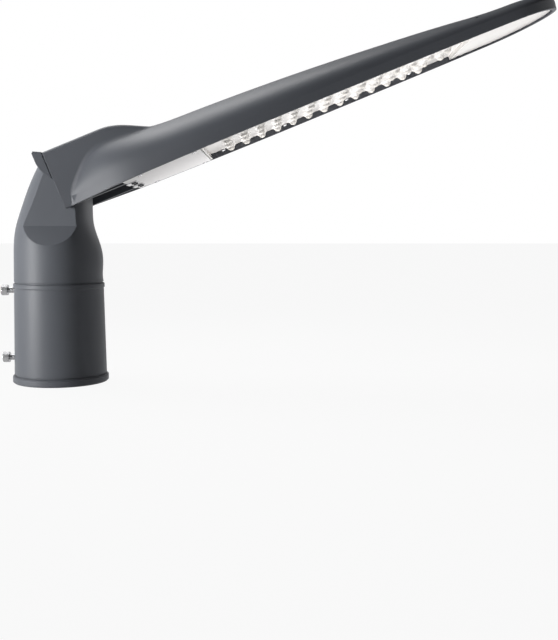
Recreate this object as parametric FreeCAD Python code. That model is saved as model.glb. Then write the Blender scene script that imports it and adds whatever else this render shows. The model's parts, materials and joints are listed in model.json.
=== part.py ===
import FreeCAD, Part
import math
import os
from FreeCAD import Placement, Rotation, Vector

# A leaf-shaped LED street light head on a slip-over post socket.
# Millimetres, +Z up, origin at the centre of the socket's mouth, +X towards the head's tip.
# Head pieces are drawn in the head's own frame, u along the head, v across, w up from the rim plane,
# and are then tilted into place.

# Post socket and collar
post_bore_radius = 39.0
post_bore_depth = 104.0
collar_height = 122.0
collar_rim_radius = 45.0
collar_rim_height = 7.0
collar_rim_round = 1.2
collar_foot_radius = 43.3
collar_top_radius = 41.2
collar_groove_depth = 0.9
collar_groove_width = 1.3
bead_height = 92.0
bead_width = 5.0
bead_proud = 0.8

# Clamp screws of the collar
clamp_screw_heights = (22.8, 87.3)
clamp_screw_radius = 3.0
clamp_head_radius = 5.0
clamp_head_length = 6.0
clamp_head_reach = 55.0
socket_share = 0.5
thread_clearance = 0.05

# Neck: height above the collar, back, front, half thickness and roundness of the front corners
neck_stations = (
    (0.0, -41.2, 41.2, 41.2, 1.0),
    (14.0, -40.4, 37.0, 40.4, 0.88),
    (28.0, -37.7, 32.2, 38.0, 0.72),
    (44.0, -32.4, 31.0, 35.2, 0.62),
    (60.0, -26.4, 31.0, 33.8, 0.6),
    (76.0, -19.0, 31.3, 33.2, 0.6),
    (94.0, -10.5, 31.6, 33.0, 0.6),
)
neck_section_points = 20
collar_shares = (0.0, 0.5)
tongue_half = 30.0
ledge_top = collar_height + 26.0
ledge_foot = collar_height + 4.0
ledge_spread = 14.0
ledge_hollow = 0.46
wire_way_radius = 34.0
wire_way_top = collar_height + 44.0
wire_way_top_radius = 18.0
cable_hole_radius = 8.0
cable_hole_x = -8.0

# Head placement and pivot
head_tilt = 22.0
head_height = collar_height + 35.5
pivot_u = 30.0
pivot_w = 26.0
knuckle_radius = 20.5
tilt_range = 22.0
lock_radius = 18.0
lock_angle = -95.0
bolt_radius = 4.0
bolt_head_radius = 6.5
bolt_head_height = 4.4
bolt_seat_sink = 0.5
lock_bolt_radius = 3.0
lock_head_radius = 5.2
lock_head_height = 3.4
bush_wall = 3.0
running_clearance = 0.05
slot_clearance = 0.3
washer_radius = 10.0
insert_wall = 2.4
insert_depth = 4.0
press_gap = 0.02

# Hood over the knuckle
hood_rear = 17.0
hood_half = 37.0
hood_wall = 5.0
hood_top = 54.5
hood_roof = 4.5
hood_flat_end = 72.0
hood_shoulder_u = 96.0
hood_shoulder_w = 49.0
hood_front = 128.0
hood_front_w = 34.5
hood_front_fall = 0.35
hood_edge_round = 3.5
hood_crease_round = 6.0

# Rear cap of the hood
cap_rear = 8.0
cap_lip_rise = 3.6
cap_lip_round = 1.6
cap_foot = 28.0
cap_side_clearance = 0.6
cap_over_tongue = 1.5
cap_gap = 0.7
cap_screw_radius = 1.25
cap_screw_head_radius = 2.2
cap_screw_head_length = 2.0
cap_screw_depth = 9.0
cap_screw_w = 47.0

# Leaf canopy: place along the head, half width and crown height
leaf_stations = (
    (18.0, 34.0, 12.0),
    (24.0, 37.3, 17.0),
    (33.0, 40.8, 30.6),
    (49.0, 47.5, 46.0),
    (66.0, 55.0, 51.0),
    (90.0, 62.0, 48.0),
    (115.0, 65.5, 42.8),
    (150.0, 69.0, 40.5),
    (200.0, 71.5, 38.8),
    (270.0, 71.0, 35.2),
    (340.0, 68.5, 30.0),
    (400.0, 65.0, 24.2),
)
nose_start = 440.0
nose_length = 61.0
nose_half = 61.0
nose_crown = 20.2
nose_tip_crown = 6.5
nose_angles = (0.0, 22.0, 42.0, 58.0, 70.0, 79.0, 86.0)
nose_crown_power = 0.7
rim_band = 8.0
rim_lean_rear = -1.5
rim_lean_front = 2.2
rim_lean_start = 25.0
rim_lean_end = 250.0
dome_fullness = 2.1
dome_points = 9
skin = 3.0
ledge_width = 5.5
band_share = 0.5
screw_share = 0.6

# Optical compartment
lens_plate_level = 5.5
lens_plate_thickness = 2.5
lens_gasket_thickness = 1.5
plate_clearance = 0.4
lens_skirt_thickness = 1.2
lens_skirt_low = 0.3
end_pad_start = 410.0
end_pad_low = 1.8
end_pad_inset = 1.0
dome_pitch = 16.7
dome_foot_radius = 6.6
dome_waist_radius = 3.8
dome_waist_drop = 2.2
dome_drop = 5.2
dome_root = 0.5
dome_first = 176.0
dome_last = 398.0
dome_rows = (-55.0, -18.0, 18.0, 55.0)
dome_edge = 8.0
spreader_level = 11.6
spreader_thickness = 2.4
spreader_margin = 22.0
spreader_end = 402.0
board_thickness = 1.6
board_margin = 10.8
board_gap = 2.0
chip_size = 3.4
chip_height = 1.0
post_radius = 4.5
spreader_posts = (184.0, 268.0, 335.0, 391.0)
spreader_post_v = 31.0
small_screw_radius = 1.5
small_head_radius = 2.5
small_head_height = 2.0
small_screw_depth = 6.0
lens_screw_steps = (-0.5, 3.5, 7.5, 11.5, 14.5)

# Gear compartment
bulkhead_rear = 76.0
bulkhead_thickness = 3.0
partition_rear = 150.0
partition_thickness = 6.0
cover_end = 152.5
cover_thickness = 2.5
cover_gasket_thickness = 1.2
cover_screw_places = (94.0, 146.0)
latch_v = 19.0
latch_half = 10.0
latch_length = 10.0
latch_thickness = 0.8
latch_hook = 6.0
latch_screw_u = 82.0
latch_screw_spread = 6.0
latch_screw_radius = 1.2
latch_screw_head_radius = 2.2
latch_screw_head_height = 1.2
tray_level = 29.0
tray_thickness = 1.5
tray_start = 82.5
tray_end = 147.0
tray_half = 38.0
tray_post_places = (87.0, 143.0)
tray_post_v = 33.0
driver_start = 101.0
driver_length = 39.0
driver_side = -28.0
driver_width = 36.0
driver_height = 20.0
driver_round = 2.5
driver_lug = 6.5
driver_lug_thickness = 2.0
surge_start = 118.0
surge_length = 24.0
surge_side = 12.0
surge_width = 16.0
surge_height = 18.0
block_start = 96.0
block_length = 20.0
block_side = 12.0
block_width = 16.0
block_height = 14.0
block_ways = 4
block_way_radius = 1.6
clamp_bar_place = 88.0
clamp_bar_length = 7.0
clamp_bar_half = 12.0
clamp_bar_height = 5.0
clamp_groove_radius = 3.5
gland_v = 0.0
gland_w = 24.0
gland_thread_radius = 6.0
gland_nut_radius = 8.5
gland_nut_length = 6.0
gland_lock_length = 3.0
gland_hole_radius = 3.5
gland_chamfer = 2.0
vent_v = 20.0
vent_w = 22.0
vent_radius = 5.0
vent_stem_radius = 2.5
vent_height = 2.5
earth_place = 88.0
earth_v = 24.0

# Worked-out levels and places
far = 400.0
touching = 0.001
head_place = Placement(Vector(0, 0, head_height), Rotation(Vector(0, 1, 0), -head_tilt))
pivot = head_place.multVec(Vector(pivot_u, 0, pivot_w))
lens_ledge = lens_plate_level + lens_plate_thickness + lens_gasket_thickness
cover_seat = cover_thickness + cover_gasket_thickness
inner_inset = skin + ledge_width
ledge_screw_inset = skin + ledge_width * screw_share
hood_inner_half = hood_half - hood_wall
bolt_seat = hood_half - bolt_seat_sink
hood_inner_top = hood_top - hood_roof
bulkhead_front = bulkhead_rear + bulkhead_thickness
partition_front = partition_rear + partition_thickness
tip = nose_start + nose_length
lens_screw_places = [dome_first + step * dome_pitch for step in lens_screw_steps]
neck_start = bead_height + bead_width / 2 + collar_groove_width
lock_u = pivot_u + lock_radius * math.cos(math.radians(lock_angle))
lock_w = pivot_w + lock_radius * math.sin(math.radians(lock_angle))


def box(low, high):
    """A box between two corners."""
    size = Vector(*high) - Vector(*low)
    return Part.makeBox(size.x, size.y, size.z, Vector(*low))


def rod(start, direction, radius, length):
    """A cylinder from a point along a direction."""
    return Part.makeCylinder(radius, length, Vector(*start), Vector(*direction))


def polygon(points):
    """A flat face with straight sides."""
    return Part.Face(Part.makePolygon([Vector(*p) for p in points] + [Vector(*points[0])]))


def join(shapes):
    """One solid from touching or overlapping solids."""
    return shapes[0].multiFuse(shapes[1:]).removeSplitter()


def cut_all(shape, tools):
    """A solid with every tool cut away."""
    return shape.cut(tools).removeSplitter()


def cap_screw(seat, direction, shank_radius, shank_length, head_radius, head_height):
    """A socket-cap screw whose head sits on the seat and whose shank runs along the direction."""
    way = Vector(*direction)
    base = Vector(*seat)
    shank = Part.makeCylinder(shank_radius, shank_length, base, way)
    head = Part.makeCylinder(head_radius, head_height, base, way * -1)
    socket_depth = head_height * socket_share
    top = base - way * head_height
    turn = Rotation(Vector(0, 0, 1), way)
    corners = [Vector(head_radius * socket_share, 0, 0)]
    for step in range(1, 7):
        angle = math.radians(60 * step)
        corners.append(Vector(math.cos(angle), math.sin(angle), 0) * head_radius * socket_share)
    socket = Part.Face(Part.makePolygon(corners)).extrude(Vector(0, 0, socket_depth))
    socket.Placement = Placement(top, turn)
    return shank.fuse(head).removeSplitter().cut(socket)


# Spigot casting

def wall_radius(height):
    """Outer radius of the drafted collar wall."""
    share = (height - collar_rim_height) / (collar_height - collar_rim_height)
    return collar_foot_radius + (collar_top_radius - collar_foot_radius) * share


def collar():
    """The turned socket blank: rim, groove, drafted wall, bead and the groove under the neck."""
    low = bead_height - bead_width / 2
    high = bead_height + bead_width / 2
    foot = collar_rim_height + collar_groove_width
    outline = [
        (0, 0),
        (collar_rim_radius - collar_rim_round, 0),
        (collar_rim_radius, collar_rim_round),
        (collar_rim_radius, collar_rim_height - collar_rim_round),
        (collar_rim_radius - collar_rim_round, collar_rim_height),
        (wall_radius(collar_rim_height) - collar_groove_depth, collar_rim_height),
        (wall_radius(foot) - collar_groove_depth, foot),
        (wall_radius(foot), foot),
        (wall_radius(low), low),
        (wall_radius(low) + bead_proud, low + bead_proud),
        (wall_radius(high) + bead_proud, high - bead_proud),
        (wall_radius(high), high),
        (wall_radius(high) - collar_groove_depth, high),
        (wall_radius(neck_start) - collar_groove_depth, neck_start),
        (0, neck_start),
    ]
    face = polygon([(r, 0, z) for r, z in outline])
    return face.revolve(Vector(0, 0, 0), Vector(0, 0, 1), 360)


def neck_section(rise, back, front, half, corner):
    """A closed neck section, round at the back and squarer at the front."""
    middle = (back + front) / 2
    reach = (front - back) / 2
    points = []
    for step in range(neck_section_points):
        angle = 2 * math.pi * step / neck_section_points
        along = math.cos(angle)
        across = math.sin(angle)
        power = corner if along > 0 else 1.0
        x = middle + math.copysign(abs(along) ** power, along) * reach
        y = math.copysign(abs(across) ** power, across) * half
        points.append(Vector(x, y, collar_height + rise))
    curve = Part.BSplineCurve()
    even = [float(step) for step in range(neck_section_points + 1)]
    curve.interpolate(points, PeriodicFlag=True, Parameters=even)
    return Part.Wire(curve.toShape())


def tongue_side():
    """Side profile that trims the top of the neck to a round knuckle."""
    tilt = math.radians(head_tilt)
    run = Vector(math.cos(tilt), 0, math.sin(tilt))
    rise = Vector(-math.sin(tilt), 0, math.cos(tilt))
    crest = pivot + rise * knuckle_radius
    half_way = pivot + (run + rise).normalize() * knuckle_radius
    nose = pivot + run * knuckle_radius
    back = crest - run * far
    front = Vector(nose.x + far, 0, nose.z - far * math.tan(math.radians(60)))
    end = Vector(front.x, 0, -far * 2)
    start = Vector(back.x, 0, -far * 2)
    edges = [
        Part.makeLine(back, crest),
        Part.Arc(crest, half_way, nose).toShape(),
        Part.makeLine(nose, front),
        Part.makeLine(front, end),
        Part.makeLine(end, start),
        Part.makeLine(start, back),
    ]
    return Part.Face(Part.Wire(edges))


def cheek_cut(side):
    """What is milled off one side of the neck to leave a flat cheek above a scooped ledge."""
    y = side * tongue_half
    foot = side * (tongue_half + ledge_spread)
    mid = Vector(0, y + side * ledge_spread * ledge_hollow, (ledge_top + ledge_foot) / 2)
    outer = side * far
    edges = [
        Part.makeLine(Vector(0, y, far), Vector(0, y, ledge_top)),
        Part.Arc(Vector(0, y, ledge_top), mid, Vector(0, foot, ledge_foot)).toShape(),
        Part.makeLine(Vector(0, foot, ledge_foot), Vector(0, outer, ledge_foot)),
        Part.makeLine(Vector(0, outer, ledge_foot), Vector(0, outer, far)),
        Part.makeLine(Vector(0, outer, far), Vector(0, y, far)),
    ]
    face = Part.Face(Part.Wire(edges))
    face.translate(Vector(-far, 0, 0))
    return face.extrude(Vector(2 * far, 0, 0))


def lock_slot():
    """The arc slot in the tongue, long enough for the whole tilt."""
    half = lock_bolt_radius + slot_clearance
    first = math.radians(lock_angle + head_tilt)
    last = math.radians(lock_angle + head_tilt - tilt_range)
    middle = (first + last) / 2

    def place(radius, angle):
        return pivot + Vector(math.cos(angle), 0, math.sin(angle)) * radius

    def end_cap(angle, turn):
        centre = place(lock_radius, angle)
        out = Vector(-math.sin(angle), 0, math.cos(angle)) * turn * half
        return centre + out

    inner = lock_radius - half
    outer = lock_radius + half
    edges = [
        Part.Arc(place(outer, first), place(outer, middle), place(outer, last)).toShape(),
        Part.Arc(place(outer, last), end_cap(last, -1), place(inner, last)).toShape(),
        Part.Arc(place(inner, last), place(inner, middle), place(inner, first)).toShape(),
        Part.Arc(place(inner, first), end_cap(first, 1), place(outer, first)).toShape(),
    ]
    face = Part.Face(Part.Wire(edges))
    face.translate(Vector(0, -far, 0))
    return face.extrude(Vector(0, 2 * far, 0))


def spigot_casting():
    """Collar, neck and tongue in one casting."""
    sections = []
    for share in collar_shares:
        height = neck_start + (collar_height - neck_start) * share
        wall = wall_radius(height)
        sections.append(neck_section(height - collar_height, -wall, wall, wall, 1.0))
    sections += [neck_section(*row) for row in neck_stations]
    neck = Part.makeLoft(sections, True)
    side = tongue_side()
    side.translate(Vector(0, -far, 0))
    neck = neck.common(side.extrude(Vector(0, 2 * far, 0)))
    neck = neck.cut([cheek_cut(-1), cheek_cut(1)])
    body = collar().fuse(neck)
    way = Part.makeCone(wire_way_radius, wire_way_top_radius, wire_way_top - post_bore_depth,
                        Vector(0, 0, post_bore_depth), Vector(0, 0, 1))
    tools = [way, rod((0, 0, -1), (0, 0, 1), post_bore_radius, post_bore_depth + 1)]
    tools.append(rod((cable_hole_x, 0, post_bore_depth), (0, 0, 1), cable_hole_radius, far))
    bush_outer = bolt_radius + running_clearance + bush_wall
    tools.append(rod((pivot.x, -far, pivot.z), (0, 1, 0), bush_outer + press_gap, 2 * far))
    tools.append(lock_slot())
    for height in clamp_screw_heights:
        tools.append(rod((0, 0, height), (-1, 0, 0), clamp_screw_radius + thread_clearance, far))
    return cut_all(body, tools)


def clamp_screws():
    """Two screws that clamp the collar on its post."""
    under_head = clamp_head_reach - clamp_head_length
    length = under_head - post_bore_radius
    screws = []
    for height in clamp_screw_heights:
        screws.append(cap_screw((-under_head, 0, height), (1, 0, 0), clamp_screw_radius, length,
                                clamp_head_radius, clamp_head_length))
    return Part.makeCompound(screws)


def pivot_bush():
    """Bronze bush pressed through the tongue."""
    inner = bolt_radius + running_clearance
    tube = rod((pivot.x, -tongue_half, pivot.z), (0, 1, 0), inner + bush_wall, 2 * tongue_half)
    return tube.cut(rod((pivot.x, -tongue_half, pivot.z), (0, 1, 0), inner, 2 * tongue_half))


# Leaf canopy

def nose_row(angle):
    """Place, half width and crown of a section in the rounded nose."""
    swing = math.radians(angle)
    u = nose_start + nose_length * math.sin(swing)
    half = nose_half * math.cos(swing)
    crown = nose_tip_crown + (nose_crown - nose_tip_crown) * math.cos(swing) ** nose_crown_power
    return (u, half, crown)


def leaf_rows():
    """All sections of the leaf from the hood to the tip."""
    return list(leaf_stations) + [nose_row(angle) for angle in nose_angles]


def half_width(u):
    """Half width of the rim at a place along the head."""
    rows = leaf_rows()
    for (u0, b0, _), (u1, b1, _) in zip(rows, rows[1:]):
        if u0 <= u <= u1:
            return b0 + (b1 - b0) * (u - u0) / (u1 - u0)
    return rows[-1][1]


def rim_height(crown):
    """Height of the upright band around the rim, lower where the nose thins out."""
    return min(rim_band, crown * band_share)


def rim_lean(u):
    """How far the top of the rim band leans out: inwards at the rear, outwards from the middle on."""
    share = (u - rim_lean_start) / (rim_lean_end - rim_lean_start)
    share = min(max(share, 0.0), 1.0)
    return rim_lean_rear + (rim_lean_front - rim_lean_rear) * share


def leaf_section(u, half, crown, inset, roof, base):
    """A domed cross section, drawn inwards by the inset and the roof thickness."""
    edge = half - inset
    top = crown - roof
    band = rim_height(crown)
    shoulder = edge + min(rim_lean(u), edge / 2)
    points = []
    for step in range(dome_points):
        angle = math.pi * step / (dome_points - 1)
        across = math.cos(angle)
        v = math.copysign(abs(across) ** (2 / dome_fullness), across) * shoulder
        w = band + (top - band) * abs(math.sin(angle)) ** (2 / dome_fullness)
        points.append(Vector(u, v, w))
    points[0] = Vector(u, shoulder, band)
    points[-1] = Vector(u, -shoulder, band)
    curve = Part.BSplineCurve()
    curve.interpolate(points, Parameters=[float(step) for step in range(dome_points)])
    right = Vector(u, edge, base)
    left = Vector(u, -edge, base)
    edges = [
        Part.makeLine(left, right),
        Part.makeLine(right, points[0]),
        curve.toShape(),
        Part.makeLine(points[-1], left),
    ]
    return Part.Wire(edges)


def leaf(inset, roof, base):
    """The leaf body, or its hollow where an inset and a roof thickness are given."""
    sections = []
    for u, half, crown in leaf_rows():
        if half - inset > 1.0 and crown - roof > rim_height(crown) + 1.0:
            sections.append(leaf_section(u, half, crown, inset, roof, base))
    return Part.makeLoft(sections, True)


def rim_outline(inset, start, low, high):
    """A flat slab that follows the rim from a place along the head to the nose."""
    rows = [(u, half) for u, half, _ in leaf_rows() if u > start + 1.0 and half - inset > 1.0]
    side = [Vector(start, half_width(start) - inset, low)]
    for u, half in rows:
        shift = inset * (u - nose_start) / nose_length if u > nose_start else 0.0
        side.append(Vector(u - shift, half - inset, low))
    other = [Vector(p.x, -p.y, p.z) for p in side]
    right = Part.BSplineCurve()
    right.interpolate(side)
    left = Part.BSplineCurve()
    left.interpolate(other)
    edges = [
        right.toShape(),
        Part.makeLine(side[-1], other[-1]),
        left.toShape(),
        Part.makeLine(other[0], side[0]),
    ]
    return Part.Face(Part.Wire(Part.sortEdges(edges)[0])).extrude(Vector(0, 0, high - low))


def hood():
    """The box over the knuckle, flat on top and falling into the crown."""
    top = Part.BSplineCurve()
    top.interpolate([
        Vector(hood_flat_end, 0, hood_top),
        Vector(hood_shoulder_u, 0, hood_shoulder_w),
        Vector(hood_front, 0, hood_front_w),
    ], InitialTangent=Vector(1, 0, 0), FinalTangent=Vector(1, 0, -hood_front_fall))
    edges = [
        Part.makeLine(Vector(hood_rear, 0, 0), Vector(hood_rear, 0, hood_top)),
        Part.makeLine(Vector(hood_rear, 0, hood_top), Vector(hood_flat_end, 0, hood_top)),
        top.toShape(),
        Part.makeLine(Vector(hood_front, 0, hood_front_w), Vector(hood_front, 0, 0)),
        Part.makeLine(Vector(hood_front, 0, 0), Vector(hood_rear, 0, 0)),
    ]
    face = Part.Face(Part.Wire(edges))
    face.translate(Vector(0, -hood_half, 0))
    block = face.extrude(Vector(0, 2 * hood_half, 0))
    long_tops = []
    for edge in block.Edges:
        span = edge.BoundBox
        if span.YLength < touching and span.ZMin > hood_front_w - touching:
            long_tops.append(edge)
    return block.makeFillet(hood_edge_round, long_tops)


def canopy():
    """Leaf and hood in one form, with a smooth valley where they meet."""
    lower = leaf(0.0, 0.0, 0.0)
    upper = hood()
    body = lower.fuse(upper).removeSplitter()
    creases = []
    for edge in body.Edges:
        middle = Part.Vertex(edge.valueAt((edge.FirstParameter + edge.LastParameter) / 2))
        gap = max(lower.Shells[0].distToShape(middle)[0], upper.Shells[0].distToShape(middle)[0])
        if gap < touching and middle.Z > rim_band:
            creases.append(edge)
    return body.makeFillet(hood_crease_round, creases)


def cap_screw_v():
    """The cap screws run in the middle of the hood's side walls."""
    return (hood_half + hood_inner_half) / 2


def edge_screws(places, inset):
    """Screw places along both sides of the rim."""
    spots = []
    for u in places:
        v = half_width(u) - inset
        spots.append((u, -v))
        spots.append((u, v))
    return spots


def spreader_spots():
    """Screw places of the heat spreader."""
    return [(u, side * spreader_post_v) for u in spreader_posts for side in (-1, 1)]


def tray_spots():
    """Screw places of the gear tray."""
    return [(u, side * tray_post_v) for u in tray_post_places for side in (-1, 1)]


def housing():
    """The canopy casting: leaf and hood, hollowed for the knuckle, the gear and the optics."""
    body = canopy()
    hollow = leaf(inner_inset, skin, -1.0)
    tools = [
        box((-1, -hood_inner_half, -1), (bulkhead_rear, hood_inner_half, hood_inner_top)),
        hollow.common(box((bulkhead_front, -far, cover_seat), (partition_rear, far, far))),
        hollow.common(box((partition_front, -far, lens_ledge), (tip, far, far))),
        gear_slab(0.0, -1.0, cover_seat),
        rim_outline(skin, cover_end, -1.0, lens_ledge),
    ]
    side_pocket = leaf(skin, skin, -1.0)
    for side in (-1, 1):
        near = side * hood_half
        outer = side * far
        low = (hood_rear + hood_wall, min(near, outer), -1)
        high = (bulkhead_rear, max(near, outer), far)
        tools.append(side_pocket.common(box(low, high)))
    body = cut_all(body, tools)
    posts = []
    for u, v in spreader_spots():
        posts.append(rod((u, v, spreader_level + spreader_thickness), (0, 0, 1), post_radius, far))
    for u, v in tray_spots():
        posts.append(rod((u, v, tray_level + tray_thickness), (0, 0, 1), post_radius, far))
    inner = leaf(skin / 2, skin / 2, 0.0)
    body = join([body] + [post.common(inner) for post in posts])
    holes = []
    for u, v in spreader_spots():
        holes.append(rod((u, v, spreader_level), (0, 0, 1), small_screw_radius + thread_clearance,
                         spreader_thickness + small_screw_depth))
    for u, v in tray_spots():
        holes.append(rod((u, v, tray_level), (0, 0, 1), small_screw_radius + thread_clearance,
                         tray_thickness + small_screw_depth / 2))
    for u, v in edge_screws(lens_screw_places, ledge_screw_inset):
        holes.append(rod((u, v, lens_plate_level), (0, 0, 1), small_screw_radius + thread_clearance,
                         lens_ledge - lens_plate_level + small_screw_depth))
    for u, v in edge_screws(cover_screw_places, ledge_screw_inset):
        holes.append(rod((u, v, 0), (0, 0, 1), small_screw_radius + thread_clearance,
                         cover_seat + small_screw_depth))
    for side in (-1, 1):
        holes.append(rod((hood_rear, side * cap_screw_v(), cap_screw_w), (1, 0, 0),
                         cap_screw_radius + thread_clearance, cap_screw_depth))
    holes.append(rod((bulkhead_rear - 1, gland_v, gland_w), (1, 0, 0),
                     gland_thread_radius + thread_clearance, bulkhead_thickness + 2))
    holes.append(rod((bulkhead_rear - 1, vent_v, vent_w), (1, 0, 0),
                     vent_stem_radius + thread_clearance, bulkhead_thickness + 2))
    for u, w, radius, head in ((pivot_u, pivot_w, bolt_radius, bolt_head_radius),
                               (lock_u, lock_w, lock_bolt_radius, lock_head_radius)):
        holes.append(rod((u, 0, w), (0, 1, 0), radius + thread_clearance, far))
        holes.append(rod((u, bolt_seat, w), (0, 1, 0), head + slot_clearance, far))
        holes.append(rod((u, -hood_inner_half - insert_depth, w), (0, 1, 0),
                         radius + insert_wall + press_gap, insert_depth))
    return cut_all(body, holes)


def rear_cap():
    """The lipped cap that closes the hood behind the tongue."""
    top = hood_top + cap_lip_rise
    knee = Vector(cap_rear, 0, pivot_w + knuckle_radius)
    curve = Part.BSplineCurve()
    curve.interpolate([
        knee,
        Vector((cap_rear * 2 + hood_rear) / 3, 0, (hood_top + cap_foot * 2) / 3),
        Vector(hood_rear, 0, cap_foot),
    ])
    edges = [
        Part.makeLine(Vector(hood_rear, 0, cap_foot), Vector(hood_rear, 0, hood_top)),
        Part.makeLine(Vector(hood_rear, 0, hood_top), Vector(cap_rear + cap_lip_round, 0, top)),
        Part.makeLine(Vector(cap_rear + cap_lip_round, 0, top), Vector(cap_rear, 0, top - cap_lip_round)),
        Part.makeLine(Vector(cap_rear, 0, top - cap_lip_round), knee),
        curve.toShape(),
    ]
    face = Part.Face(Part.Wire(edges))
    face.translate(Vector(0, -hood_half, 0))
    body = face.extrude(Vector(0, 2 * hood_half, 0))
    gap = tongue_half + cap_side_clearance
    clear = pivot_w + knuckle_radius + cap_over_tongue
    tools = [box((-far, -gap, -far), (far, gap, clear))]
    tools.append(box((hood_rear - cap_gap, -far, hood_top - cap_gap), (hood_rear, far, far)))
    for side in (-1, 1):
        edge = side * (hood_half - cap_gap)
        outer = side * far
        tools.append(box((hood_rear - cap_gap, min(edge, outer), 0), (hood_rear, max(edge, outer), far)))
        tools.append(rod((-far, side * cap_screw_v(), cap_screw_w), (1, 0, 0),
                         cap_screw_radius + thread_clearance, 2 * far))
        tools.append(rod((-far, side * cap_screw_v(), cap_screw_w), (1, 0, 0),
                         cap_screw_head_radius + thread_clearance, far + cap_rear + cap_screw_head_length))
    return cut_all(body, tools)


def rear_cap_screws():
    """Two screws through the cap into the hood's side walls."""
    seat = cap_rear + cap_screw_head_length
    length = hood_rear + cap_screw_depth - seat - 1.0
    screws = []
    for side in (-1, 1):
        screws.append(cap_screw((seat, side * cap_screw_v(), cap_screw_w), (1, 0, 0), cap_screw_radius,
                                length, cap_screw_head_radius, cap_screw_head_length))
    return Part.makeCompound(screws)


# Optics

def dome_spots():
    """Lens places: rows across the head, each as long as the rim allows."""
    spots = []
    count = int((dome_last - dome_first) / dome_pitch) + 1
    for v in dome_rows:
        for step in range(count):
            u = dome_first + step * dome_pitch
            if half_width(u) - abs(v) > dome_edge + skin:
                spots.append((u, v))
    return spots


def dome():
    """One lens that hangs from the plate: a coned foot, sunk into the plate, and a round tip."""
    root = lens_plate_level + dome_root
    foot = Vector(dome_foot_radius, 0, lens_plate_level)
    waist = Vector(dome_waist_radius, 0, lens_plate_level - dome_waist_drop)
    lowest = Vector(0, 0, lens_plate_level - dome_drop)
    depth = waist.z - lowest.z
    ball = (dome_waist_radius ** 2 + depth ** 2) / (2 * depth)
    lean = math.asin(dome_waist_radius / ball) / 2
    round_tip = Vector(ball * math.sin(lean), 0, lowest.z + ball * (1 - math.cos(lean)))
    edges = [
        Part.makeLine(foot, waist),
        Part.Arc(waist, round_tip, lowest).toShape(),
        Part.makeLine(lowest, Vector(0, 0, root)),
        Part.makeLine(Vector(0, 0, root), Vector(dome_foot_radius, 0, root)),
        Part.makeLine(Vector(dome_foot_radius, 0, root), foot),
    ]
    return Part.Face(Part.Wire(edges)).revolve(Vector(0, 0, 0), Vector(0, 0, 1), 360)


def lens_plate():
    """Clear cover with one bulged lens under each chip, a skirt behind and a thick pad at the nose."""
    top = lens_plate_level + lens_plate_thickness
    slab = rim_outline(skin + plate_clearance, cover_end + plate_clearance, lens_plate_level, top)
    lens = dome()
    lenses = []
    for u, v in dome_spots():
        copy = lens.copy()
        copy.translate(Vector(u, v, 0))
        lenses.append(copy)
    start = cover_end + plate_clearance
    half = half_width(start) - skin - 2 * plate_clearance
    skirt = box((start, -half, lens_skirt_low), (start + lens_skirt_thickness, half, lens_plate_level))
    inset = skin + plate_clearance + end_pad_inset
    pad = rim_outline(inset, end_pad_start, end_pad_low, lens_plate_level)
    slab = slab.multiFuse(lenses + [skirt, pad])
    holes = []
    for u, v in edge_screws(lens_screw_places, ledge_screw_inset):
        holes.append(rod((u, v, 0), (0, 0, 1), small_screw_radius + thread_clearance, far))
        holes.append(rod((u, v, 0), (0, 0, 1), small_head_radius + thread_clearance, lens_plate_level))
    return slab.cut(holes)


def lens_gasket():
    """Seal between the lens plate and the housing's ledge."""
    low = lens_plate_level + lens_plate_thickness
    ring = rim_outline(skin + plate_clearance, cover_end + plate_clearance, low, lens_ledge)
    inner = rim_outline(inner_inset, partition_front, low - 1, lens_ledge + 1)
    holes = [inner]
    for u, v in edge_screws(lens_screw_places, ledge_screw_inset):
        holes.append(rod((u, v, 0), (0, 0, 1), small_screw_radius + thread_clearance, far))
    return ring.cut(holes)


def lens_screws():
    """Screws around the lens plate."""
    screws = []
    length = lens_ledge - lens_plate_level + small_screw_depth - 1.0
    for u, v in edge_screws(lens_screw_places, ledge_screw_inset):
        screws.append(cap_screw((u, v, lens_plate_level), (0, 0, 1), small_screw_radius, length,
                                small_head_radius, small_head_height))
    return Part.makeCompound(screws)


def heat_spreader():
    """Aluminium plate that carries the LED board."""
    top = spreader_level + spreader_thickness
    plate = rim_outline(spreader_margin, partition_front + board_gap, spreader_level, top)
    plate = plate.common(box((0, -far, 0), (spreader_end, far, far)))
    holes = []
    for u, v in spreader_spots():
        holes.append(rod((u, v, 0), (0, 0, 1), small_screw_radius + thread_clearance, far))
    return plate.cut(holes)


def led_board():
    """White board under the heat spreader."""
    low = spreader_level - board_thickness
    board = rim_outline(board_margin, partition_front + board_gap, low, spreader_level)
    board = board.common(box((0, -far, 0), (spreader_end, far, far)))
    holes = []
    for u, v in spreader_spots():
        holes.append(rod((u, v, 0), (0, 0, 1), small_screw_radius + thread_clearance, far))
    return board.cut(holes)


def led_chips():
    """One chip above each lens."""
    top = spreader_level - board_thickness
    half = chip_size / 2
    chips = []
    for u, v in dome_spots():
        chips.append(box((u - half, v - half, top - chip_height), (u + half, v + half, top)))
    return Part.makeCompound(chips)


def spreader_screws():
    """Screws through the board and the spreader into the housing's posts."""
    seat = spreader_level - board_thickness
    length = board_thickness + spreader_thickness + small_screw_depth - 1.0
    screws = []
    for u, v in spreader_spots():
        screws.append(cap_screw((u, v, seat), (0, 0, 1), small_screw_radius, length,
                                small_head_radius, small_head_height))
    return Part.makeCompound(screws)


# Gear compartment

def gear_slab(clearance, low, high):
    """A slab that fits inside the rim along the gear compartment, with a clearance all round."""
    slab = rim_outline(skin + clearance, bulkhead_rear, low, high)
    return slab.common(box((bulkhead_rear + clearance, -far, low), (cover_end - clearance, far, high)))


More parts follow.
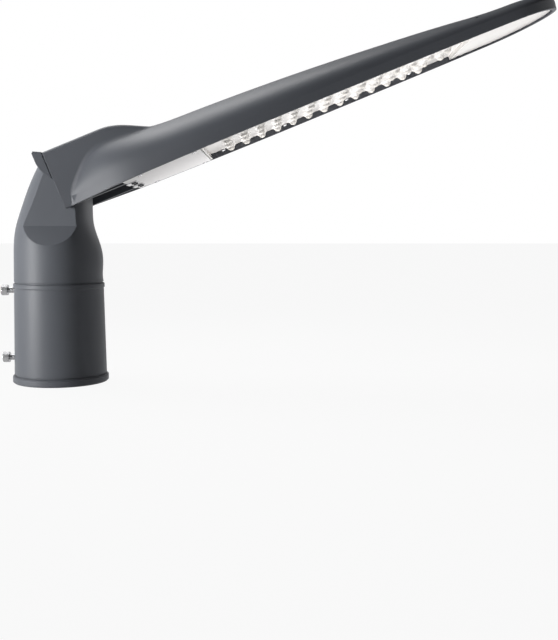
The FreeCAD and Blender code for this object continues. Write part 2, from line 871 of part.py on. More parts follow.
def gear_cover():
    """The flat cover under the gear, flush with the rim."""
    holes = []
    for u, v in edge_screws(cover_screw_places, ledge_screw_inset):
        holes.append(rod((u, v, -1), (0, 0, 1), small_screw_radius + thread_clearance, far))
        holes.append(rod((u, v, -1), (0, 0, 1), small_head_radius + thread_clearance,
                         1 + small_head_height / 2))
    for u, v in latch_spots():
        holes.append(rod((u, v, -1), (0, 0, 1), latch_screw_radius + thread_clearance, far))
    return gear_slab(plate_clearance, 0.0, cover_thickness).cut(holes)


def latch_spots():
    """Screw places of the two cover latches."""
    spots = []
    for side in (-1, 1):
        for step in (-1, 1):
            spots.append((latch_screw_u, side * latch_v + step * latch_screw_spread))
    return spots


def cover_latches():
    """Two bent spring strips that hook the cover's rear edge behind the bulkhead."""
    rear = bulkhead_rear - latch_thickness
    latches = []
    for side in (-1, 1):
        middle = side * latch_v
        strip = box((rear, middle - latch_half, -latch_thickness),
                    (rear + latch_length, middle + latch_half, 0.0))
        hook = box((rear, middle - latch_half, -latch_thickness),
                   (bulkhead_rear, middle + latch_half, latch_hook))
        latches.append(join([strip, hook]))
    holes = []
    for u, v in latch_spots():
        holes.append(rod((u, v, -far), (0, 0, 1), latch_screw_radius + thread_clearance, 2 * far))
    return Part.makeCompound([latch.cut(holes) for latch in latches])


def latch_screws():
    """Short screws that hold the latches on the cover."""
    length = latch_thickness + cover_thickness
    screws = []
    for u, v in latch_spots():
        screws.append(cap_screw((u, v, -latch_thickness), (0, 0, 1), latch_screw_radius, length,
                                latch_screw_head_radius, latch_screw_head_height))
    return Part.makeCompound(screws)


def cover_gasket():
    """Seal between the gear cover and the housing."""
    ring = gear_slab(plate_clearance, cover_thickness, cover_seat)
    inner = gear_slab(ledge_width, cover_thickness - 1, cover_seat + 1)
    inner = inner.common(box((bulkhead_front, -far, -far), (partition_rear, far, far)))
    holes = [inner]
    for u, v in edge_screws(cover_screw_places, ledge_screw_inset):
        holes.append(rod((u, v, -1), (0, 0, 1), small_screw_radius + thread_clearance, far))
    return ring.cut(holes)


def cover_screws():
    """Screws at the corners of the gear cover."""
    seat = small_head_height / 2
    length = cover_seat - seat + small_screw_depth - 1.0
    screws = []
    for u, v in edge_screws(cover_screw_places, ledge_screw_inset):
        screws.append(cap_screw((u, v, seat), (0, 0, 1), small_screw_radius, length,
                                small_head_radius, small_head_height))
    return Part.makeCompound(screws)


def gear_tray():
    """Folded tray under the canopy that carries the gear."""
    plate = box((tray_start, -tray_half, tray_level), (tray_end, tray_half, tray_level + tray_thickness))
    holes = []
    for u, v in tray_spots() + [(earth_place, earth_v)] + driver_spots() + clamp_spots():
        holes.append(rod((u, v, 0), (0, 0, 1), small_screw_radius + thread_clearance, far))
    return plate.cut(holes)


def tray_screws():
    """Screws that hang the tray from the housing's posts."""
    length = tray_thickness + small_screw_depth / 2 - 1.0
    screws = []
    for u, v in tray_spots():
        screws.append(cap_screw((u, v, tray_level), (0, 0, 1), small_screw_radius, length,
                                small_head_radius, small_head_height))
    return Part.makeCompound(screws)


def driver_spots():
    """Screw places in the driver's two lugs."""
    middle = driver_side + driver_width / 2
    return [(driver_start - driver_lug / 2, middle),
            (driver_start + driver_length + driver_lug / 2, middle)]


def driver():
    """LED driver: a rounded case with a screw lug at each end."""
    case = box((driver_start, driver_side, tray_level - driver_height),
               (driver_start + driver_length, driver_side + driver_width, tray_level))
    upright = [edge for edge in case.Edges if abs(edge.Vertexes[0].Z - edge.Vertexes[1].Z) > 1]
    case = case.makeFillet(driver_round, upright)
    middle = driver_side + driver_width / 2
    wide = driver_width / 4
    low = tray_level - driver_lug_thickness
    lugs = box((driver_start - driver_lug, middle - wide, low),
               (driver_start + driver_length + driver_lug, middle + wide, tray_level))
    holes = []
    for u, v in driver_spots():
        holes.append(rod((u, v, 0), (0, 0, 1), small_screw_radius + thread_clearance, far))
    return join([case, lugs]).cut(holes)


def driver_screws():
    """Screws through the driver's lugs into the tray."""
    seat = tray_level - driver_lug_thickness
    screws = []
    for u, v in driver_spots():
        screws.append(cap_screw((u, v, seat), (0, 0, 1), small_screw_radius,
                                driver_lug_thickness + tray_thickness, small_head_radius, small_head_height))
    return Part.makeCompound(screws)


def surge_protector():
    """Surge protector beside the driver."""
    case = box((surge_start, surge_side, tray_level - surge_height),
               (surge_start + surge_length, surge_side + surge_width, tray_level))
    upright = [edge for edge in case.Edges if abs(edge.Vertexes[0].Z - edge.Vertexes[1].Z) > 1]
    return case.makeFillet(driver_round, upright)


def terminal_block():
    """Terminal block with a row of wire entries."""
    low = tray_level - block_height
    case = box((block_start, block_side, low),
               (block_start + block_length, block_side + block_width, tray_level))
    pitch = block_length / block_ways
    holes = []
    for way in range(block_ways):
        u = block_start + pitch * (way + 0.5)
        holes.append(rod((u, block_side - 1, low + block_height / 2), (0, 1, 0), block_way_radius,
                         1 + block_width / 2))
        holes.append(rod((u, block_side + block_width / 2, low - 1), (0, 0, 1), block_way_radius, 4))
    return case.cut(holes)


def clamp_spots():
    """Screw places of the cable clamp."""
    reach = clamp_bar_half - clamp_bar_length / 2
    return [(clamp_bar_place, side * reach) for side in (-1, 1)]


def cable_clamp():
    """Saddle that grips the supply cable on the tray."""
    half = clamp_bar_length / 2
    bar = box((clamp_bar_place - half, -clamp_bar_half, tray_level - clamp_bar_height),
              (clamp_bar_place + half, clamp_bar_half, tray_level))
    holes = [rod((clamp_bar_place - far, 0, tray_level), (1, 0, 0), clamp_groove_radius, 2 * far)]
    for u, v in clamp_spots():
        holes.append(rod((u, v, 0), (0, 0, 1), small_screw_radius + thread_clearance, far))
    return bar.cut(holes)


def cable_clamp_screws():
    """Screws of the cable clamp."""
    seat = tray_level - clamp_bar_height
    screws = []
    for u, v in clamp_spots():
        screws.append(cap_screw((u, v, seat), (0, 0, 1), small_screw_radius,
                                clamp_bar_height + tray_thickness, small_head_radius, small_head_height))
    return Part.makeCompound(screws)


def earth_screw():
    """Earth screw in the tray."""
    return cap_screw((earth_place, earth_v, tray_level), (0, 0, 1), small_screw_radius,
                     tray_thickness + 2.0, small_head_radius, small_head_height)


def cable_gland():
    """Gland through the bulkhead with its lock nut."""
    outline = [
        (gland_hole_radius, bulkhead_rear - gland_nut_length),
        (gland_nut_radius - gland_chamfer, bulkhead_rear - gland_nut_length),
        (gland_nut_radius, bulkhead_rear - gland_nut_length + gland_chamfer),
        (gland_nut_radius, bulkhead_rear),
        (gland_thread_radius, bulkhead_rear),
        (gland_thread_radius, bulkhead_front),
        (gland_nut_radius, bulkhead_front),
        (gland_nut_radius, bulkhead_front + gland_lock_length),
        (gland_hole_radius, bulkhead_front + gland_lock_length),
    ]
    face = polygon([(u, gland_v, gland_w + r) for r, u in outline])
    return face.revolve(Vector(0, gland_v, gland_w), Vector(1, 0, 0), 360)


def vent_plug():
    """Breather in the bulkhead that lets the gear space equalise."""
    head = rod((bulkhead_rear - vent_height, vent_v, vent_w), (1, 0, 0), vent_radius, vent_height)
    stem = rod((bulkhead_rear, vent_v, vent_w), (1, 0, 0), vent_stem_radius, bulkhead_thickness)
    return join([head, stem])


# Knuckle hardware of the head

def through_bolt(u, w, radius, head_radius, head_height):
    """A bolt from the far side of the hood into the insert on the near side."""
    length = bolt_seat + hood_inner_half + insert_depth
    return cap_screw((u, bolt_seat, w), (0, -1, 0), radius, length, head_radius, head_height)


def pivot_bolt():
    return through_bolt(pivot_u, pivot_w, bolt_radius, bolt_head_radius, bolt_head_height)


def lock_bolt():
    return through_bolt(lock_u, lock_w, lock_bolt_radius, lock_head_radius, lock_head_height)


def threaded_inserts():
    """Steel inserts in the near side wall for both bolts."""
    inserts = []
    for u, w, radius in ((pivot_u, pivot_w, bolt_radius), (lock_u, lock_w, lock_bolt_radius)):
        start = (u, -hood_inner_half - insert_depth, w)
        ring = rod(start, (0, 1, 0), radius + insert_wall, insert_depth)
        inserts.append(ring.cut(rod(start, (0, 1, 0), radius + thread_clearance, insert_depth)))
    return Part.makeCompound(inserts)


def friction_washers():
    """A washer on each side of the tongue."""
    thickness = hood_inner_half - tongue_half - slot_clearance
    washers = []
    for start in (-hood_inner_half, hood_inner_half - thickness):
        ring = rod((pivot_u, start, pivot_w), (0, 1, 0), washer_radius, thickness)
        hole = rod((pivot_u, start, pivot_w), (0, 1, 0), bolt_radius + thread_clearance, thickness)
        washers.append(ring.cut(hole))
    return Part.makeCompound(washers)


spigot_pieces = {
    "spigot_casting": spigot_casting,
    "clamp_screws": clamp_screws,
    "pivot_bush": pivot_bush,
}
head_pieces = {
    "housing": housing,
    "rear_cap": rear_cap,
    "rear_cap_screws": rear_cap_screws,
    "lens_plate": lens_plate,
    "lens_gasket": lens_gasket,
    "lens_screws": lens_screws,
    "heat_spreader": heat_spreader,
    "led_board": led_board,
    "led_chips": led_chips,
    "spreader_screws": spreader_screws,
    "gear_cover": gear_cover,
    "cover_gasket": cover_gasket,
    "cover_screws": cover_screws,
    "cover_latches": cover_latches,
    "latch_screws": latch_screws,
    "gear_tray": gear_tray,
    "tray_screws": tray_screws,
    "driver": driver,
    "driver_screws": driver_screws,
    "surge_protector": surge_protector,
    "terminal_block": terminal_block,
    "cable_clamp": cable_clamp,
    "cable_clamp_screws": cable_clamp_screws,
    "earth_screw": earth_screw,
    "cable_gland": cable_gland,
    "vent_plug": vent_plug,
    "pivot_bolt": pivot_bolt,
    "lock_bolt": lock_bolt,
    "threaded_inserts": threaded_inserts,
    "friction_washers": friction_washers,
}

os.makedirs("parts", exist_ok=True)
for name, make in spigot_pieces.items():
    make().exportStep("parts/" + name + ".step")
for name, make in head_pieces.items():
    piece = make()
    piece.Placement = head_place.multiply(piece.Placement)
    piece.exportStep("parts/" + name + ".step")
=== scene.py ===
import json
import math

import bmesh
import bpy
from mathutils import Matrix, Vector


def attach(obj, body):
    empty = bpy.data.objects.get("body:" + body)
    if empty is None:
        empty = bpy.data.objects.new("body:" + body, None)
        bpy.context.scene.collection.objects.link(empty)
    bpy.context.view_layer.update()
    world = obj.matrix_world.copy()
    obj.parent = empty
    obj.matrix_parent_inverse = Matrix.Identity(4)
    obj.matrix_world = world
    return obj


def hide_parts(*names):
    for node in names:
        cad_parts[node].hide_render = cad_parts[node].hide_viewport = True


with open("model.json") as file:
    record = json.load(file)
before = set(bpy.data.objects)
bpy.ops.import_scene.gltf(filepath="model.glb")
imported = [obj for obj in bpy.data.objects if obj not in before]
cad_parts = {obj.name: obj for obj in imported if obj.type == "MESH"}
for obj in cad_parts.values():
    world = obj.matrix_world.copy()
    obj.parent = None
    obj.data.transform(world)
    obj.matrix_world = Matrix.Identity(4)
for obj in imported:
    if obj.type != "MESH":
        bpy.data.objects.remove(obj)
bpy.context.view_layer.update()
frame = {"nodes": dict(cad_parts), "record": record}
nodes = frame["nodes"]

# Sizes that repeat the part's own, in metres and degrees
head_tilt = 22.0
head_rise = 0.1575
clamp_heights = (0.0228, 0.0873)
clamp_seat = -0.049
bolt_seat = 0.0365
knuckle_bolt_length = 0.0725
cap_screw_seat = 0.010
cap_screw_side = 0.0345
cap_screw_level = 0.047
lens_level = 0.0055
cover_seat = 0.001
dome_first = 0.176
dome_pitch = 0.0167

# Knuckle bolts: the pivot along the head and up from its lower edge, and the lock bolt on an arc about it
pivot_place = (0.030, 0.026)
lock_radius = 0.018
lock_angle = -95.0
lock_place = (pivot_place[0] + lock_radius * math.cos(math.radians(lock_angle)),
              pivot_place[1] + lock_radius * math.sin(math.radians(lock_angle)))

# Screws along the head; the lens plate's are counted in lens pitches from the first lens
lens_screw_steps = (-0.5, 3.5, 7.5, 11.5, 14.5)
lens_screw_places = [dome_first + step * dome_pitch for step in lens_screw_steps]
cover_screw_places = (0.094, 0.146)

# How far out each row of lenses is, and how many lenses it has
dome_rows = ((0.018, 14), (0.055, 13))

head_turn = Matrix.Translation((0.0, 0.0, head_rise)) @ Matrix.Rotation(math.radians(-head_tilt), 4, "Y")


# Shader sockets as Python values

def feed(tree, slot, value):
    """Links an input socket to a value's node, or sets it."""
    if isinstance(value, Value):
        tree.links.new(value.socket, slot)
    else:
        slot.default_value = value


class Value:
    """One output socket of a node tree, with the arithmetic that the finishes use."""

    def __init__(self, tree, socket):
        self.tree = tree
        self.socket = socket

    def maths(self, operation, *terms):
        node = self.tree.nodes.new("ShaderNodeMath")
        node.operation = operation
        for slot, value in zip(node.inputs, terms):
            feed(self.tree, slot, value)
        return Value(self.tree, node.outputs[0])

    def __add__(self, other):
        return self.maths("ADD", self, other)

    def __radd__(self, other):
        return self.maths("ADD", other, self)

    def __sub__(self, other):
        return self.maths("SUBTRACT", self, other)

    def __rsub__(self, other):
        return self.maths("SUBTRACT", other, self)

    def __mul__(self, other):
        return self.maths("MULTIPLY", self, other)

    def __rmul__(self, other):
        return self.maths("MULTIPLY", other, self)

    def most(self, other):
        return self.maths("MAXIMUM", self, other)

    def part(self):
        """What is left after the whole turns of a repeat."""
        return self.maths("FRACT", self)

    def size(self):
        return self.maths("ABSOLUTE", self)


class Finish:
    """A material, or the world, that is built node by node."""

    def __init__(self, owner, output="ShaderNodeOutputMaterial"):
        self.owner = owner
        self.output = output
        owner.use_nodes = True
        self.tree = owner.node_tree
        self.tree.nodes.clear()

    def node(self, kind, settings=None, ordered=(), **inputs):
        """Any node: its settings are set first, then its sockets' values or links, in order or by name."""
        made = self.tree.nodes.new(kind)
        for name, value in (settings or {}).items():
            setattr(made, name, value)
        for slot, value in zip(made.inputs, ordered):
            feed(self.tree, slot, value)
        for name, value in inputs.items():
            feed(self.tree, self.socket(made, name), value)
        return made

    def socket(self, made, name):
        wanted = name.replace("_", " ").lower()
        for slot in made.inputs:
            if slot.enabled and slot.name.lower() == wanted:
                return slot
        raise KeyError(made.bl_idname + " has no input " + name)

    def out(self, made, name=None):
        socket = made.outputs[name] if name else made.outputs[0]
        return Value(self.tree, socket)

    def place(self):
        """Object coordinates in metres."""
        return self.out(self.node("ShaderNodeTexCoord"), "Object")

    def stretched(self, scale):
        """Object coordinates drawn out by a different amount along each axis."""
        return self.out(self.node("ShaderNodeMapping", vector=self.place(), scale=scale))

    def noise(self, scale, detail=2.0, vector=None):
        made = self.node("ShaderNodeTexNoise", vector=vector or self.place(), scale=scale, detail=detail)
        return self.out(made)

    def mix(self, factor, first, second):
        """A colour between two colours."""
        made = self.node("ShaderNodeMix", {"data_type": "RGBA"}, factor=factor, a=first, b=second)
        return self.out(made, 2)

    def fade(self, value, full, none):
        """One where the value is at the first level and nought at the second, smooth between."""
        made = self.node("ShaderNodeMapRange", {"interpolation_type": "SMOOTHSTEP"}, value=value,
                         from_min=none, from_max=full)
        return self.out(made)

    def rounded(self, radius):
        """The surface's direction as if its edges were rounded off."""
        return self.out(self.node("ShaderNodeBevel", {"samples": 4}, radius=radius))

    def painted_edge_highlight(self, soft):
        """How much an edge is rounded off here, from nought on the flat: the mask for the painted highlight
        on edges.
        """
        true = self.out(self.node("ShaderNodeNewGeometry"), "Normal")
        both = self.node("ShaderNodeVectorMath", {"operation": "DOT_PRODUCT"}, ordered=(true, soft))
        return 1.0 - self.out(both, "Value")

    def bump(self, height, strength, distance, normal):
        made = self.node("ShaderNodeBump", height=height, strength=strength, distance=distance, normal=normal)
        return self.out(made)

    def surface(self, **inputs):
        shader = self.node("ShaderNodeBsdfPrincipled", **inputs)
        return self.finish(self.out(shader))

    def blended(self, factor, first, second):
        """A shader between two shaders."""
        made = self.node("ShaderNodeMixShader", ordered=(factor, self.out(first), self.out(second)))
        return self.finish(self.out(made))

    def finish(self, shader):
        """Links the shader to the output and gives back the material or world."""
        self.node(self.output, surface=shader)
        return self.owner


def new_finish(name):
    return Finish(bpy.data.materials.new(name))


def grey(level):
    return (level, level, level, 1.0)


def shade(colour, share):
    """A colour made lighter or darker."""
    return tuple(share * part for part in colour) + (1.0,)


# Finishes

def powder_coat(name, colour):
    """Satin powder coat on a die casting: fine orange peel, cloudy tone and edges made paler as a painted
    highlight.
    """
    coat = new_finish(name)
    peel = coat.noise(scale=1100.0, detail=3.0)
    speckle = coat.noise(scale=3400.0)
    cloud = coat.noise(scale=16.0, detail=3.0)
    soft = coat.rounded(radius=0.0009)
    tone = coat.mix(cloud, shade(colour, 0.88), shade(colour, 1.12))
    tone = coat.mix((speckle - 0.5).size() * 0.5, tone, shade(colour, 1.35))
    # Painted highlight: the rounded edges are made paler to stand in for light caught on them, not for wear.
    tone = coat.mix(coat.painted_edge_highlight(soft) * 0.5, tone, shade(colour, 1.6))
    rough = cloud * 0.12 + speckle * 0.1 + 0.38
    return coat.surface(base_color=tone, roughness=rough, specular_ior_level=0.28,
                        normal=coat.bump(peel, strength=0.14, distance=0.0006, normal=soft))


def bright_metal(name, colour, rough):
    """Turned or rolled metal with fine streaks."""
    metal = new_finish(name)
    streak = metal.noise(scale=500.0, detail=4.0, vector=metal.stretched((1.0, 1.0, 6.0)))
    cloud = metal.noise(scale=40.0)
    soft = metal.rounded(radius=0.0003)
    tone = metal.mix(streak, shade(colour, 1.0), shade(colour, 0.8))
    tone = metal.mix(cloud * 0.4, tone, shade(colour, 0.9))
    return metal.surface(base_color=tone, roughness=streak * 0.16 + cloud * 0.06 + rough, metallic=1.0,
                         normal=metal.bump(streak, strength=0.05, distance=0.0003, normal=soft))


def moulded(name, colour, rough):
    """Moulded plastic or rubber with a faint grain and slightly uneven tone."""
    plastic = new_finish(name)
    grain = plastic.noise(scale=1600.0, detail=3.0)
    cloud = plastic.noise(scale=22.0, detail=3.0)
    soft = plastic.rounded(radius=0.0004)
    tone = plastic.mix(cloud, shade(colour, 0.94), shade(colour, 1.06))
    return plastic.surface(base_color=tone, roughness=grain * 0.1 + cloud * 0.06 + rough,
                           normal=plastic.bump(grain, strength=0.06, distance=0.0004, normal=soft))


# How far a chip's mark is full and where it is gone, and the same past the ends of a row
chip_edge = (0.0012, 0.0036)
row_edge = (0.004, 0.008)


def clear_moulding(name):
    """Clear acrylic that looks milky over its white board, with a chip's faint yellow behind each lens."""
    lens = new_finish(name)
    turned = lens.node("ShaderNodeVectorRotate", {"rotation_type": "Y_AXIS"}, vector=lens.place(),
                       center=(0.0, 0.0, head_rise), angle=math.radians(head_tilt))
    split = lens.node("ShaderNodeSeparateXYZ", vector=lens.out(turned))
    along = lens.out(split, "X")
    turns = (along - (dome_first - dome_pitch / 2)) * (1.0 / dome_pitch)
    near_along = (turns.part() - 0.5).size() * dome_pitch
    across = lens.out(split, "Y").size()
    rows = []
    for side, count in dome_rows:
        last = dome_first + (count - 1) * dome_pitch
        mark = lens.fade(near_along.most((across - side).size()), *chip_edge)
        rows.append(mark * lens.fade(along, last + row_edge[0], last + row_edge[1]))
    begun = lens.fade(along, dome_first - row_edge[0], dome_first - row_edge[1])
    chip = begun * rows[0].most(rows[1])
    cloud = lens.noise(scale=30.0)
    tone = lens.mix(cloud, (0.88, 0.85, 0.82, 1.0), (0.93, 0.9, 0.875, 1.0))
    tone = lens.mix(chip * 0.15, tone, (0.93, 0.8, 0.45, 1.0))
    return lens.surface(base_color=tone, roughness=cloud * 0.06 + 0.2, transmission_weight=0.03, ior=1.49)


# Painted shade: the head's paint is a darker copy of the neck's, standing in for the shade on the head's
# flank; both are the same paint.
shaded_head_paint = powder_coat("shaded_head_paint", (0.08, 0.0855, 0.098))
neck_paint = powder_coat("neck_paint", (0.1, 0.107, 0.121))
stainless = bright_metal("stainless_steel", (0.5, 0.5, 0.51), rough=0.14)
blackened = bright_metal("blackened_steel", (0.06, 0.06, 0.065), rough=0.25)
bronze = bright_metal("turned_bronze", (0.6, 0.42, 0.2), rough=0.2)
aluminium = bright_metal("milled_aluminium", (0.8, 0.81, 0.82), rough=0.25)
zinc = bright_metal("zinc_sheet", (0.62, 0.63, 0.65), rough=0.25)
brass = bright_metal("brass", (0.75, 0.58, 0.26), rough=0.18)
cover_plastic = moulded("cover_plastic", (0.82, 0.8, 0.8), rough=0.38)
seal = moulded("seal_rubber", (0.035, 0.035, 0.035), rough=0.72)
board = moulded("board_mask", (0.86, 0.86, 0.84), rough=0.33)
phosphor = moulded("chip_phosphor", (0.84, 0.68, 0.18), rough=0.45)
white_case = moulded("white_case", (0.8, 0.8, 0.78), rough=0.4)
dark_case = moulded("dark_case", (0.055, 0.06, 0.07), rough=0.42)
nylon = moulded("natural_nylon", (0.75, 0.73, 0.67), rough=0.46)
black_nylon = moulded("black_nylon", (0.025, 0.025, 0.027), rough=0.46)
lens_acrylic = clear_moulding("lens_acrylic")

finish_of_slot = {
    "grey_casting": shaded_head_paint,
    "stainless": stainless,
    "dark_screw": blackened,
    "bronze": bronze,
    "lens_clear": lens_acrylic,
    "seal_rubber": seal,
    "bare_aluminium": aluminium,
    "board_white": board,
    "chip_yellow": phosphor,
    "cover_light": cover_plastic,
    "zinc_sheet": zinc,
    "driver_case": white_case,
    "surge_case": dark_case,
    "terminal_plastic": nylon,
    "brass_screw": brass,
    "gland_plastic": black_nylon,
}
for part in frame["record"]["subparts"]:
    node = nodes[part["node"]]
    node.data.materials.clear()
    node.data.materials.append(finish_of_slot[part["material_slot"]])
nodes["spigot_casting"].data.materials[0] = neck_paint


# Modelling helpers

def primitive(kind, name, **settings):
    """A new object from one of the primitives, alone in the selection, with its place in the mesh."""
    bpy.ops.object.select_all(action="DESELECT")
    getattr(bpy.ops.mesh, "primitive_" + kind + "_add")(**settings)
    made = bpy.context.object
    made.name = name
    bpy.ops.object.transform_apply(location=True, rotation=True, scale=True)
    return made


def pick(made, kind, test):
    """Edit mode with only the faces or edges selected that the test takes."""
    bpy.ops.object.mode_set(mode="EDIT")
    bpy.ops.mesh.select_mode(type="EDGE" if kind == "edges" else "FACE")
    bpy.ops.mesh.select_all(action="DESELECT")
    mesh = bmesh.from_edit_mesh(made.data)
    for item in getattr(mesh, kind):
        if test(item):
            item.select_set(True)
    bmesh.update_edit_mesh(made.data)


def done():
    """Back to object mode, with every face turned outwards."""
    bpy.ops.mesh.select_all(action="SELECT")
    bpy.ops.mesh.normals_make_consistent(inside=False)
    bpy.ops.object.mode_set(mode="OBJECT")


def take_away(made, cutter):
    """Cuts one object out of another and deletes the cutter."""
    bpy.ops.object.select_all(action="DESELECT")
    bpy.context.view_layer.objects.active = made
    made.select_set(True)
    cut = made.modifiers.new("cut", "BOOLEAN")
    cut.object = cutter
    cut.operation = "DIFFERENCE"
    bpy.ops.object.modifier_apply(modifier=cut.name)
    bpy.data.objects.remove(cutter)


def put_together(pieces):
    """One object from several, named as the first."""
    bpy.ops.object.select_all(action="DESELECT")
    for piece in pieces:
        piece.select_set(True)
    bpy.context.view_layer.objects.active = pieces[0]
    bpy.ops.object.join()
    bpy.ops.object.shade_smooth_by_angle(angle=math.radians(32.0))
    return pieces[0]


def thread(radius, pitch, length):
    """A screw thread that hangs down from the origin: a turned core and a ridge wound round it."""
    depth = pitch * 0.55
    end_bevel = pitch * 0.4
    steps = 24
    ridge_radius = depth * 0.75
    ridge_place = (radius - ridge_radius, 0.0, -length + pitch * 0.5)
    core = primitive("cylinder", "core", vertices=32, radius=radius - depth, depth=length,
                     location=(0.0, 0.0, -length / 2))
    pick(core, "edges", lambda edge: all(end.co.z < -length * 0.99 for end in edge.verts))
    bpy.ops.mesh.bevel(offset=end_bevel, segments=2)
    done()
    ridge = primitive("circle", "ridge", vertices=3, radius=ridge_radius, location=ridge_place,
                      rotation=(math.radians(90.0), 0.0, 0.0))
    bpy.ops.object.mode_set(mode="EDIT")
    bpy.ops.mesh.select_all(action="SELECT")
    bpy.ops.transform.rotate(value=math.radians(90.0), orient_axis="Y", center_override=ridge_place)
    bpy.ops.object.mode_set(mode="OBJECT")
    wind = ridge.modifiers.new("wind", "SCREW")
    wind.axis = "Z"
    wind.screw_offset = pitch
    wind.iterations = max(int(length / pitch) - 1, 1)
    wind.steps = steps
    wind.render_steps = steps
    bpy.ops.object.modifier_apply(modifier=wind.name)
    bpy.ops.object.mode_set(mode="EDIT")
    bpy.ops.mesh.select_all(action="SELECT")
    bpy.ops.mesh.fill_holes(sides=3)
    done()
    return put_together([core, ridge])


def socket_screw(name, head_radius, head_height, radius, pitch, length):
    """A socket-cap screw on the origin: a grooved head above, with a hexagon socket, and a thread below."""
    flutes = 40
    flute_border = head_radius * 0.008
    flute_depth = head_radius * 0.028
    top_bevel = head_height * 0.09
    socket_radius = head_radius * 0.58
    socket_middle = head_height * 0.92
    socket_bevel = head_radius * 0.05
    head = primitive("cylinder", name, vertices=flutes * 2, radius=head_radius, depth=head_height,
                     location=(0.0, 0.0, head_height / 2))
    pick(head, "edges", lambda edge: all(end.co.z > head_height * 0.99 for end in edge.verts))
    bpy.ops.mesh.bevel(offset=top_bevel, segments=3)
    done()
    pick(head, "faces", lambda face: abs(face.normal.z) < 0.1 and face.index % 2 == 0)
    bpy.ops.mesh.inset(thickness=flute_border, use_individual=True)
    bpy.ops.transform.shrink_fatten(value=-flute_depth)
    done()
    socket = primitive("cylinder", "socket", vertices=6, radius=socket_radius, depth=head_height,
                       location=(0.0, 0.0, socket_middle))
    pick(socket, "edges", lambda edge: all(end.co.z < head_height * 0.5 for end in edge.verts))
    bpy.ops.mesh.bevel(offset=socket_bevel, segments=1)
    done()
    take_away(head, socket)
    return put_together([head, thread(radius, pitch, length)])


def pan_screw(name, head_radius, head_height, radius, pitch, length):
    """A low round-headed screw on the origin with a cross recess."""
    round_edge = head_height * 0.6
    slot_size = (head_radius * 1.15, head_radius * 0.26, head_height * 0.9)
    head = primitive("cylinder", name, vertices=32, radius=head_radius, depth=head_height,
                     location=(0.0, 0.0, head_height / 2))
    pick(head, "edges", lambda edge: all(end.co.z > head_height * 0.99 for end in edge.verts))
    bpy.ops.mesh.bevel(offset=round_edge, segments=5)
    done()
    for turn in (0.0, 90.0):
        slot = primitive("cube", "slot", size=1.0, location=(0.0, 0.0, head_height), scale=slot_size,
                         rotation=(0.0, 0.0, math.radians(turn)))
        take_away(head, slot)
    return put_together([head, thread(radius, pitch, length)])


def set_in(model, place, material, body, name):
    """A copy of a model with its own mesh, moved into its place, on its body."""
    copy = model.copy()
    copy.data = model.data.copy()
    copy.data.transform(place)
    copy.data.update()
    copy.name = name
    copy.data.materials.clear()
    copy.data.materials.append(material)
    bpy.context.scene.collection.objects.link(copy)
    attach(copy, body)
    return copy


def aimed(place, axis, angle):
    """A place and a turn about one axis, in degrees."""
    return Matrix.Translation(place) @ Matrix.Rotation(math.radians(angle), 4, axis)


# Screws that show

def fit_screws(model, places, body, node):
    """Sets stainless copies of a screw in place of a node of plain ones."""
    for index, place in enumerate(places):
        copy = set_in(model, place, stainless, body, node + "_" + str(index + 1))
        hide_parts(node)
    bpy.data.objects.remove(model)


def across_head(place):
    """A knuckle bolt's place, with its head on the far side."""
    along, up = place
    return head_turn @ aimed((along, bolt_seat, up), "X", -90.0)


# Along the head, every point of a plain screw is nearer to the screw's place than this
screw_reach = 0.005


def under_head(node, places, level):
    """Screw places on both sides of the head, as far out as the node's plain screws, with the heads down."""
    back = head_turn.inverted()
    spots = [back @ corner.co for corner in nodes[node].data.vertices]
    found = []
    for along in places:
        outs = [abs(spot.y) for spot in spots if abs(spot.x - along) < screw_reach]
        across = (min(outs) + max(outs)) / 2
        for side in (-1, 1):
            found.append(head_turn @ aimed((along, side * across, level), "X", 180.0))
    return found


clamp_places = [aimed((clamp_seat, 0.0, height), "Y", -90.0) for height in clamp_heights]
clamp_screw = socket_screw("clamp", head_radius=0.005, head_height=0.006, radius=0.003, pitch=0.001,
                           length=0.01)
fit_screws(clamp_screw, clamp_places, "spigot", "clamp_screws")

pivot_screw = socket_screw("pivot", head_radius=0.0065, head_height=0.0044, radius=0.004, pitch=0.00125,
                           length=knuckle_bolt_length)
fit_screws(pivot_screw, [across_head(pivot_place)], "head", "pivot_bolt")
lock_screw = socket_screw("lock", head_radius=0.0052, head_height=0.0034, radius=0.003, pitch=0.001,
                          length=knuckle_bolt_length)
fit_screws(lock_screw, [across_head(lock_place)], "head", "lock_bolt")

cap_places = []
for side in (-1, 1):
    cap_places.append(head_turn @ aimed((cap_screw_seat, side * cap_screw_side, cap_screw_level), "Y", -90.0))
cap_screw = socket_screw("cap", head_radius=0.0022, head_height=0.002, radius=0.00125, pitch=0.0005,
                         length=0.015)
fit_screws(cap_screw, cap_places, "head", "rear_cap_screws")

lens_screw = pan_screw("lens", head_radius=0.0025, head_height=0.002, radius=0.0015, pitch=0.0006,
                       length=0.009)
lens_places = under_head("lens_screws", lens_screw_places, lens_level)
fit_screws(lens_screw, lens_places, "head", "lens_screws")
cover_screw = pan_screw("cover", head_radius=0.0025, head_height=0.002, radius=0.0015, pitch=0.0006,
                        length=0.0077)
cover_places = under_head("cover_screws", cover_screw_places, cover_seat)
fit_screws(cover_screw, cover_places, "head", "cover_screws")


# Stage

floor_size = 12.0
floor_place = (0.2, 2.0, 0.0)
floor_glow = 0.93
sky_lean = (-0.6, -0.2, 0.77)
sky_levels = (0.02, 0.2)
wall_heights = (0.2, 0.5)
backdrop_depths = (0.0, -0.6)
camera_place = (0.2097, -0.8867, 0.1462)
camera_dip = 5.65


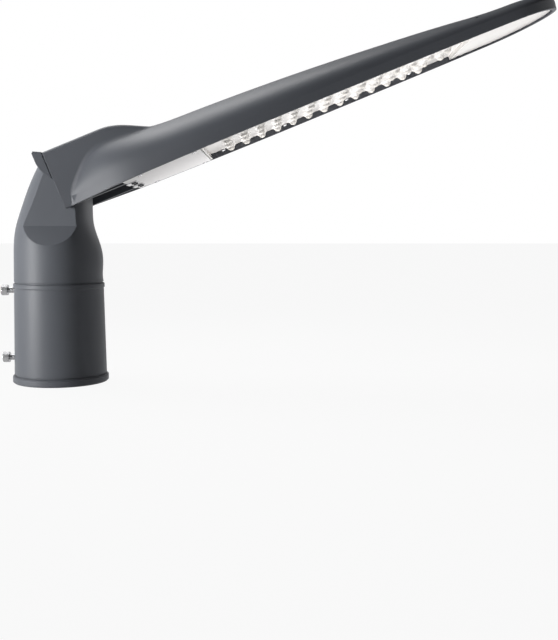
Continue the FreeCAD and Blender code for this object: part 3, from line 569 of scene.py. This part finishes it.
def floor_paint():
    """A pale floor that is seen as white, apart from the object's soft shadow."""
    paint = new_finish("floor_paint")
    ground = paint.node("ShaderNodeBsdfDiffuse", color=grey(0.45))
    glow = paint.node("ShaderNodeEmission", color=grey(1.0), strength=1.0)
    rays = paint.node("ShaderNodeLightPath")
    seen = paint.out(rays, "Is Camera Ray").most(paint.out(rays, "Is Glossy Ray"))
    seen = seen.most(paint.out(rays, "Is Transmission Ray"))
    return paint.blended(seen * floor_glow, ground, glow)


bpy.ops.object.select_all(action="DESELECT")
bpy.ops.mesh.primitive_plane_add(size=floor_size, location=floor_place)
floor = bpy.context.object
floor.name = "floor"
floor.data.materials.append(floor_paint())


def studio_world():
    """White walls to the eye, a white backdrop and a dim room in front in reflections, and a soft sky."""
    world = bpy.data.worlds.new("studio")
    bpy.context.scene.world = world
    sky = Finish(world, "ShaderNodeOutputWorld")
    rays = sky.node("ShaderNodeLightPath")
    place = sky.out(sky.node("ShaderNodeTexCoord"), "Generated")
    split = sky.node("ShaderNodeSeparateXYZ", vector=place)
    along, back, up = (sky.out(split, axis) for axis in "XYZ")
    reflected = sky.fade(up, *wall_heights) * sky.fade(back, *backdrop_depths)
    seen = sky.out(rays, "Is Camera Ray").most(sky.out(rays, "Is Transmission Ray"))
    seen = seen.most(sky.out(rays, "Is Glossy Ray") * reflected)
    slope = along * sky_lean[0] + back * sky_lean[1] + up * sky_lean[2]
    low, high = sky_levels
    level = (slope + 1.0) * ((high - low) / 2) + low
    light = sky.node("ShaderNodeBackground", color=level)
    white = sky.node("ShaderNodeBackground", color=grey(1.0))
    sky.blended(seen, light, white)


studio_world()


def soft_box(name, place, target, size, power, spread):
    """A rectangular soft lamp that the camera doesn't see."""
    lamp = bpy.data.lights.new(name, "AREA")
    lamp.shape = "RECTANGLE"
    lamp.size, lamp.size_y = size
    lamp.energy = power
    lamp.spread = math.radians(spread)
    holder = bpy.data.objects.new(name, lamp)
    bpy.context.scene.collection.objects.link(holder)
    holder.location = place
    holder.visible_camera = False
    aim = Vector(target) - Vector(place)
    holder.rotation_euler = aim.to_track_quat("-Z", "Y").to_euler()


soft_box("key_left", place=(-1.05, -0.7, 0.06), target=(-0.12, 0.0, 0.13), size=(0.3, 0.42), power=3.0,
         spread=50.0)
soft_box("top_rear", place=(-0.28, 0.3, 0.9), target=(0.04, 0.0, 0.22), size=(0.9, 0.7), power=2.0,
         spread=70.0)
soft_box("under", place=(0.36, 0.055, 0.01), target=(0.34, 0.02, 0.3), size=(0.6, 0.2), power=0.76,
         spread=110.0)

camera = bpy.data.cameras.new("photo_camera")
camera.lens = 52.3
camera.sensor_width = 36.0
eye = bpy.data.objects.new("photo_camera", camera)
bpy.context.scene.collection.objects.link(eye)
eye.location = camera_place
eye.rotation_euler = (math.radians(90.0 - camera_dip), 0.0, 0.0)
bpy.context.scene.camera = eye
bpy.context.scene.view_settings.view_transform = "Standard"
